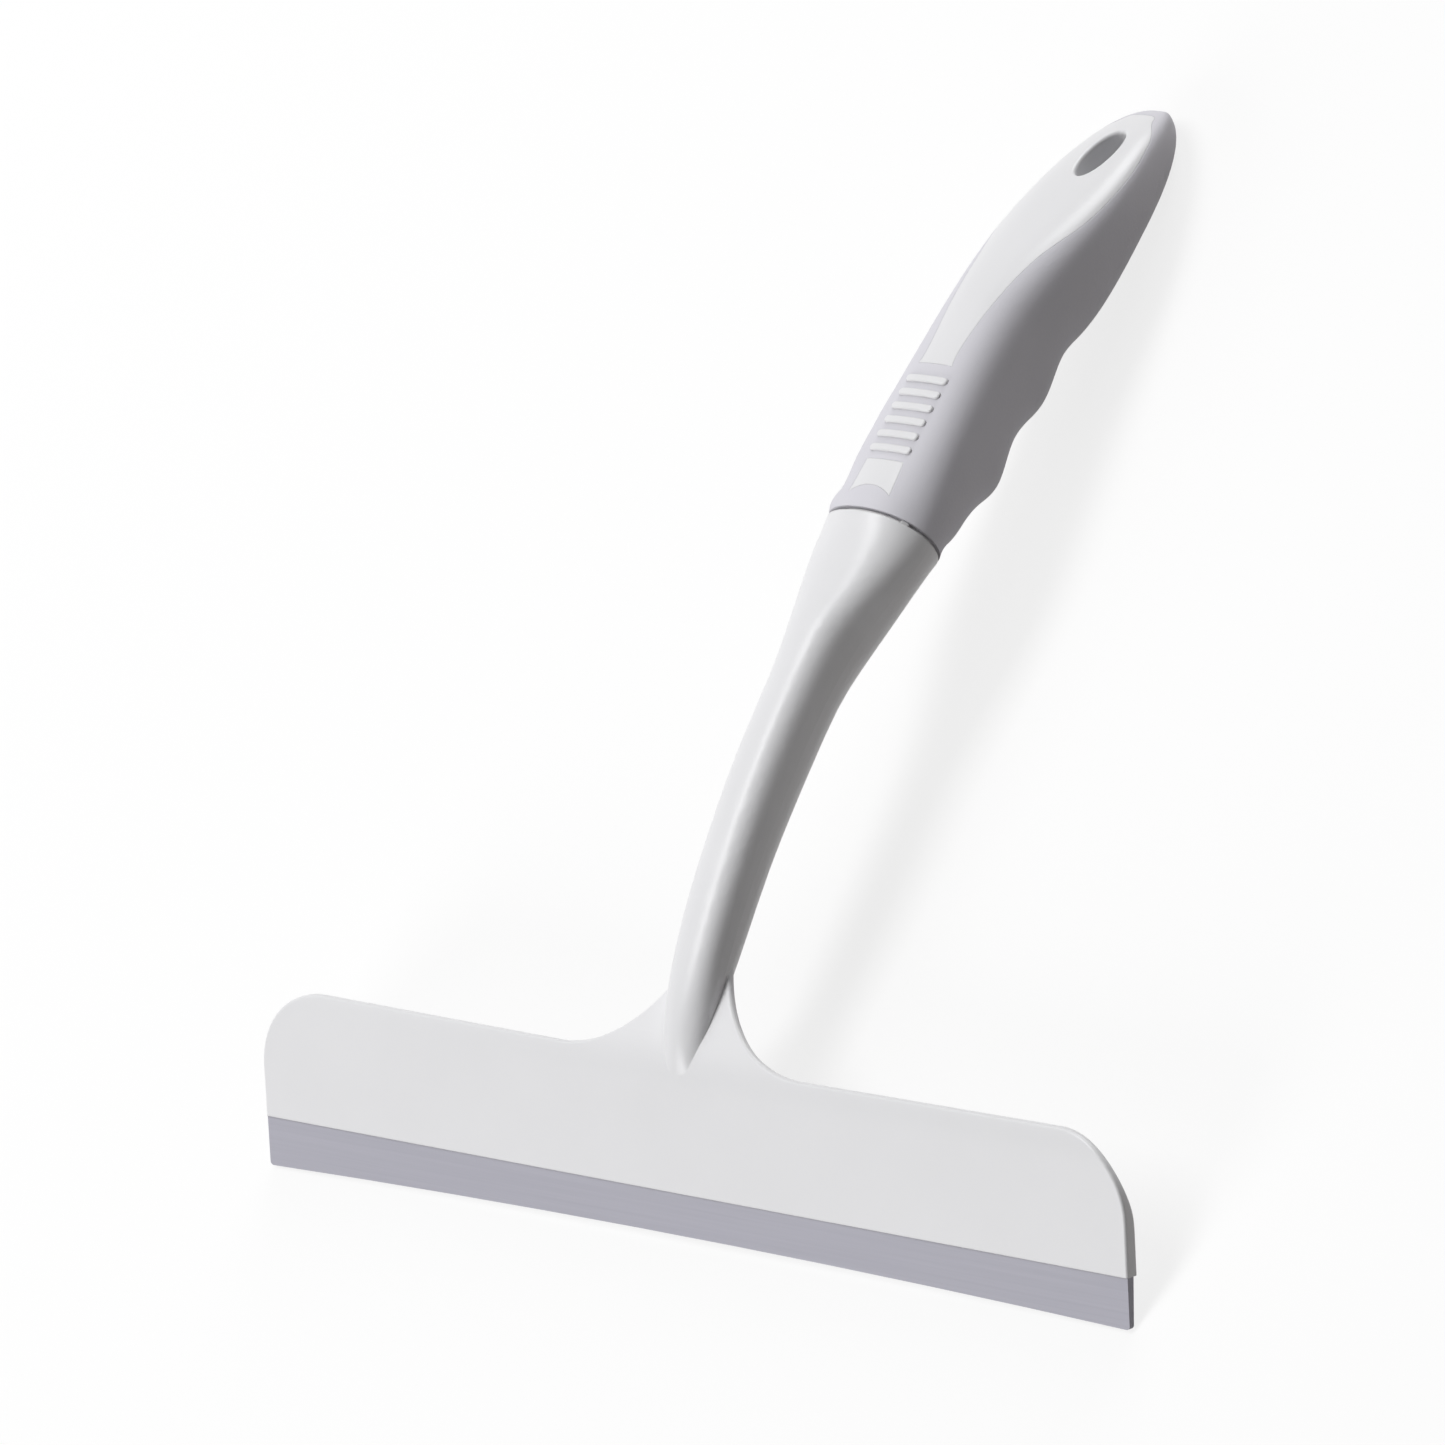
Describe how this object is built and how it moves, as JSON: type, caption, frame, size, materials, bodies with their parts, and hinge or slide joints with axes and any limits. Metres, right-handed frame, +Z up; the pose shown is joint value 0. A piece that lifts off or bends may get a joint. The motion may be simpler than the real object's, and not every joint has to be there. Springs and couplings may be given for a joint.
{
  "type": "window cleaning squeegee",
  "caption": "Hand squeegee: a broad plastic head with a rubber wiping blade along its edge, a curved stem, and a soft grip handle with finger waves, thumb ribs and a hang hole.",
  "frame": {"origin": "centre of the bounding box at floor level, with the tool lying on the ends of its blade and the end of its handle, thumb side up", "axes": "+X along the blade, +Y from the blade towards the handle's end, +Z up"},
  "size_m": [0.22, 0.2454, 0.039],
  "materials": {
    "white_plastic": "satin moulded",
    "blade_rubber": "smooth matte",
    "grip_rubber": "soft matte"
  },
  "bodies": {
    "handle": {"handle_core": "white_plastic", "grip_sleeve": "grip_rubber"},
    "head": {"head_frame": "white_plastic"},
    "blade": {"wiper_blade": "blade_rubber"}
  },
  "joints": [
    {"name": "handle_pull", "type": "slide", "parent": "handle", "child": "head", "axis": [0, -0.9936, 0.1132], "range_m": [0, 0.034]},
    {"name": "blade_slide", "type": "slide", "parent": "head", "child": "blade", "axis": [-1, 0, 0], "range_m": [0, 0.225]}
  ]
}
